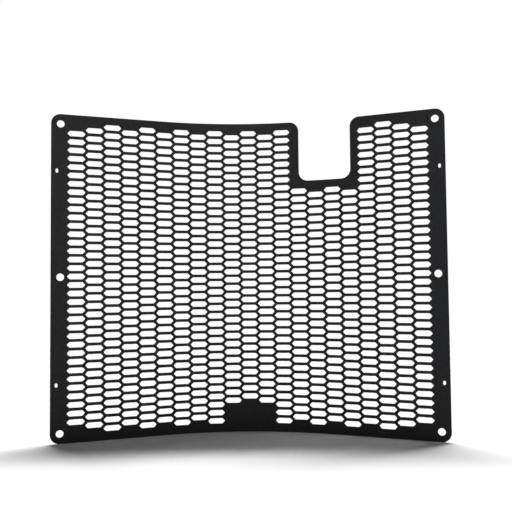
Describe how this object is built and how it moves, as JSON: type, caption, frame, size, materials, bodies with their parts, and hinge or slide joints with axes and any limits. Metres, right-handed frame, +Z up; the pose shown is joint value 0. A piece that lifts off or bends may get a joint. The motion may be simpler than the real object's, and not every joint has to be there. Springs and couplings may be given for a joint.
{
  "type": "motorcycle radiator guard",
  "caption": "Bent sheet guard that bolts over a motorcycle radiator: a mesh of long hexagons between plain rims, with a notch in the top edge for the filler neck.",
  "frame": {"origin": "under the middle of the guard, on its lower edge, half way between its back and the front of its wings", "axes": "+X to the right seen from the hollow front, +Y to the back that lies on the radiator, +Z up"},
  "size_m": [0.3694, 0.05, 0.309],
  "materials": {
    "black_powder_coat": "matte"
  },
  "bodies": {
    "root": {"radiator_guard": "black_powder_coat"}
  },
  "joints": []
}
